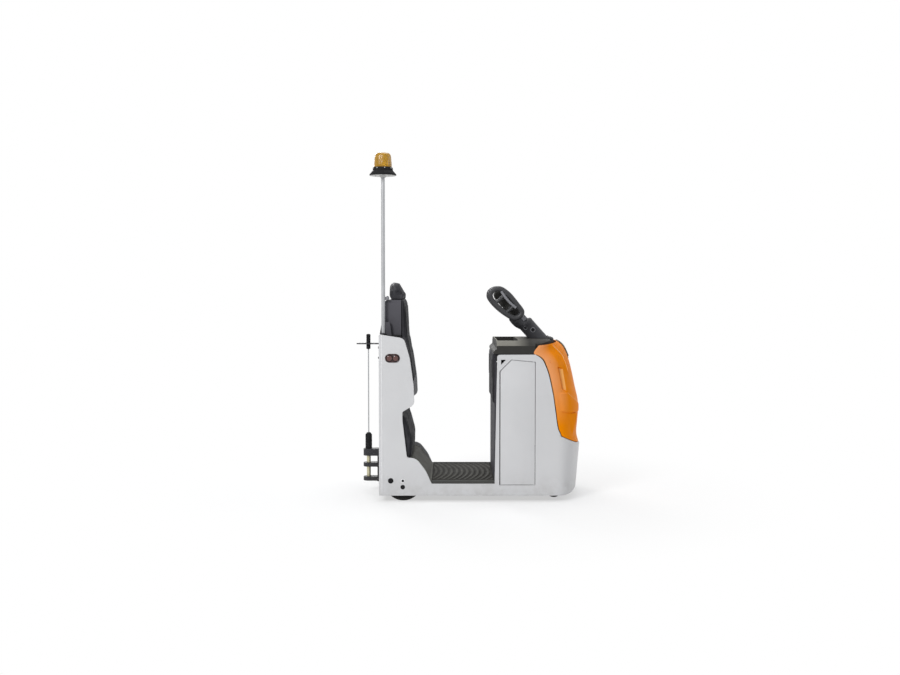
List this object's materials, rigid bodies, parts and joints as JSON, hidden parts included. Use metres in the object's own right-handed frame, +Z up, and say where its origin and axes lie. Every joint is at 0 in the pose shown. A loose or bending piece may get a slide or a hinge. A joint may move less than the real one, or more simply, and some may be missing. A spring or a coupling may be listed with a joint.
{
  "type": "baggage tow tractor",
  "caption": "Stand-on electric tow tractor with open platform, padded backrest post, steering loops, battery doors, beacon and a lift-pin tow coupling",
  "frame": {"origin": "on the ground under the middle of the overall length and width", "axes": "+X is forward, +Y is the driver's left, +Z is up"},
  "size_m": [1.533, 0.812, 2.291],
  "materials": {
    "silver_paint": "satin",
    "orange_cover": "gloss",
    "dark_paint": "satin",
    "dark_plastic": "grained",
    "ramp_plastic": "grained",
    "black_plastic": "grained",
    "mat_rubber": "ribbed",
    "trim_plastic": "satin",
    "pad_vinyl": "grained",
    "tube_steel": "satin",
    "motor_black": "rough",
    "tyre_rubber": "matte",
    "zinc_yellow": "plated",
    "amber_lens": "clear",
    "red_lens": "clear"
  },
  "bodies": {
    "chassis": {"side_plate_right": "silver_paint", "side_plate_left": "silver_paint", "rear_plate": "silver_paint", "front_shell": "silver_paint", "hood": "orange_cover", "floor_frame": "dark_paint", "post_panel": "dark_paint", "rear_axle": "dark_paint", "coupling_body": "dark_paint", "rod_guide": "dark_paint", "battery": "dark_paint", "dash": "dark_plastic", "console_panel": "dark_plastic", "backrest_housing": "dark_plastic", "heel_ramp": "ramp_plastic", "post_cap": "black_plastic", "beacon_base": "black_plastic", "axle_plugs": "black_plastic", "steering_base": "black_plastic", "floor_mat": "mat_rubber", "step_trims": "trim_plastic", "knee_pad": "pad_vinyl", "lower_back_pad": "pad_vinyl", "back_cushion": "pad_vinyl", "headrest": "pad_vinyl", "beacon_pole": "tube_steel", "beacon_lens": "amber_lens", "marker_lamps": "red_lens"},
    "rear_wheel_right": {"tyre_right": "tyre_rubber", "hub_right": "tube_steel"},
    "rear_wheel_left": {"tyre_left": "tyre_rubber", "hub_left": "tube_steel"},
    "drive_unit": {"drive_frame": "dark_paint", "drive_motor": "motor_black"},
    "drive_wheel": {"drive_tyre": "tyre_rubber", "drive_hub": "tube_steel"},
    "castor_right": {"castor_fork_right": "tube_steel"},
    "castor_left": {"castor_fork_left": "tube_steel"},
    "castor_wheel_right_body": {"castor_wheel_right": "tyre_rubber"},
    "castor_wheel_left_body": {"castor_wheel_left": "tyre_rubber"},
    "steering_head": {"steering_stem": "black_plastic", "steering_pod": "dark_plastic", "steering_grips": "black_plastic"},
    "coupling_pin": {"tow_pin": "zinc_yellow", "pin_grip": "black_plastic", "release_rod": "tube_steel", "rod_grip": "black_plastic"},
    "door_right": {"battery_door_right": "silver_paint"},
    "door_left": {"battery_door_left": "silver_paint"}
  },
  "joints": [
    {"name": "rear_roll_right", "type": "hinge", "parent": "chassis", "child": "rear_wheel_right", "pos_m": [-0.4305, -0.328, 0.125], "axis": [0, 1, 0], "continuous": true},
    {"name": "rear_roll_left", "type": "hinge", "parent": "chassis", "child": "rear_wheel_left", "pos_m": [-0.4305, 0.328, 0.125], "axis": [0, 1, 0], "continuous": true},
    {"name": "drive_steer", "type": "hinge", "parent": "chassis", "child": "drive_unit", "pos_m": [0.5575, 0, 0.262], "axis": [0, 0, 1], "range_deg": [-90, 90]},
    {"name": "drive_roll", "type": "hinge", "parent": "drive_unit", "child": "drive_wheel", "pos_m": [0.5575, 0, 0.115], "axis": [0, 1, 0], "continuous": true},
    {"name": "castor_swivel_right", "type": "hinge", "parent": "chassis", "child": "castor_right", "pos_m": [0.6035, -0.225, 0.16], "axis": [0, 0, 1], "continuous": true},
    {"name": "castor_swivel_left", "type": "hinge", "parent": "chassis", "child": "castor_left", "pos_m": [0.6035, 0.225, 0.16], "axis": [0, 0, 1], "continuous": true},
    {"name": "castor_roll_right", "type": "hinge", "parent": "castor_right", "child": "castor_wheel_right_body", "pos_m": [0.5755, -0.225, 0.055], "axis": [0, 1, 0], "continuous": true},
    {"name": "castor_roll_left", "type": "hinge", "parent": "castor_left", "child": "castor_wheel_left_body", "pos_m": [0.5755, 0.225, 0.055], "axis": [0, 1, 0], "continuous": true},
    {"name": "steering_turn", "type": "hinge", "parent": "chassis", "child": "steering_head", "pos_m": [0.4905, 0, 1.055], "axis": [-0.6626, 0, 0.749], "range_deg": [-60, 60]},
    {"name": "pin_lift", "type": "slide", "parent": "chassis", "child": "coupling_pin", "axis": [0, 0, 1], "range_m": [0, 0.17]},
    {"name": "door_swing_right", "type": "hinge", "parent": "chassis", "child": "door_right", "pos_m": [0.4265, -0.394, 0.52], "axis": [0, 0, 1], "range_deg": [0, 100]},
    {"name": "door_swing_left", "type": "hinge", "parent": "chassis", "child": "door_left", "pos_m": [0.4265, 0.394, 0.52], "axis": [0, 0, -1], "range_deg": [0, 100]}
  ],
  "couplings": [
    {"joint": "steering_turn", "follows": "drive_steer", "ratio": 0.6667}
  ]
}
